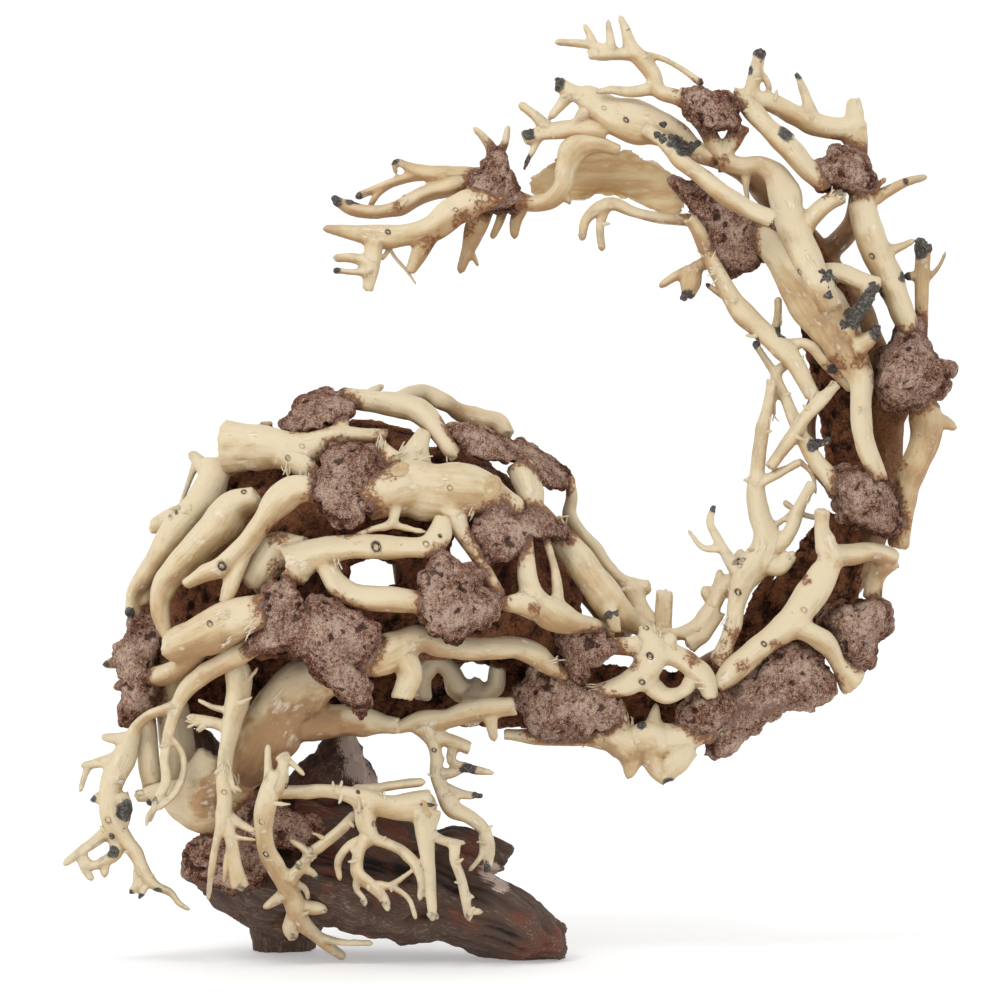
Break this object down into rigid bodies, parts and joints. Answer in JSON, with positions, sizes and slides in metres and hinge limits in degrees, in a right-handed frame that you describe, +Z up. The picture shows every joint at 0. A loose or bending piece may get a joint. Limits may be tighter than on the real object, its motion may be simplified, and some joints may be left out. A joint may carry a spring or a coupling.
{
  "type": "aquarium root wood",
  "caption": "S-shaped aquarium hardscape: a hooded dome of pale roots set in gritty putty on a dark driftwood foot, rising in a column that curls over to a free tip.",
  "frame": {"origin": "bottom centre of the box around the whole piece, on the ground it stands on", "axes": "+Z up, +X to the viewer's right in the front view, +Y to the back"},
  "size_m": [0.4438, 0.1662, 0.4694],
  "materials": {
    "root": "smooth, stripped of bark",
    "bark": "smooth, satin",
    "putty": "rough, sandy",
    "lining": "rough, gritty",
    "driftwood": "weathered, deeply grained"
  },
  "bodies": {
    "root": {"y_root": "root", "pelvis_root": "root", "keel_root": "root", "belt_root": "root", "belly_root": "root", "broad_root": "root", "dome_top_root": "root", "dome_cut_root": "root", "h_root": "root", "outer_root": "root", "mid_root": "root", "left_outer_root": "root", "left_upper_root": "root", "hook_root": "root", "big_left_root": "root", "inner_broad_root": "root", "claw_left": "root", "claw_centre": "root", "claw_front": "root", "cross_root": "root", "trunk_main": "root", "strut_right": "root", "peg_right": "root", "inner_long_root": "root", "column_left_root": "root", "spine_root": "root", "arch_root": "root", "antler_left": "root", "antler_right": "root", "trunk_upper": "root", "underside_root": "root", "tip_root_lower": "root", "tip_root_upper": "root", "tip_root_hanging": "root", "wishbone_root": "root", "back_dome_root_a": "root", "back_dome_root_b": "root", "back_column_root": "root", "putty_tip": "putty", "putty_crown": "putty", "putty_shoulder": "putty", "putty_neck": "putty", "putty_column": "putty", "putty_elbow": "putty", "putty_lower_right": "putty", "putty_keel": "putty", "putty_belly": "putty", "putty_dome_crown": "putty", "putty_dome_right": "putty", "putty_dome_front": "putty", "putty_dome_centre": "putty", "putty_dome_mid": "putty", "putty_dome_left": "putty", "putty_left_rim": "putty", "putty_base": "putty", "base_wood": "driftwood", "dome_lining": "lining", "keel_lining": "lining", "column_lining": "lining", "bark_shell": "bark"}
  },
  "joints": []
}
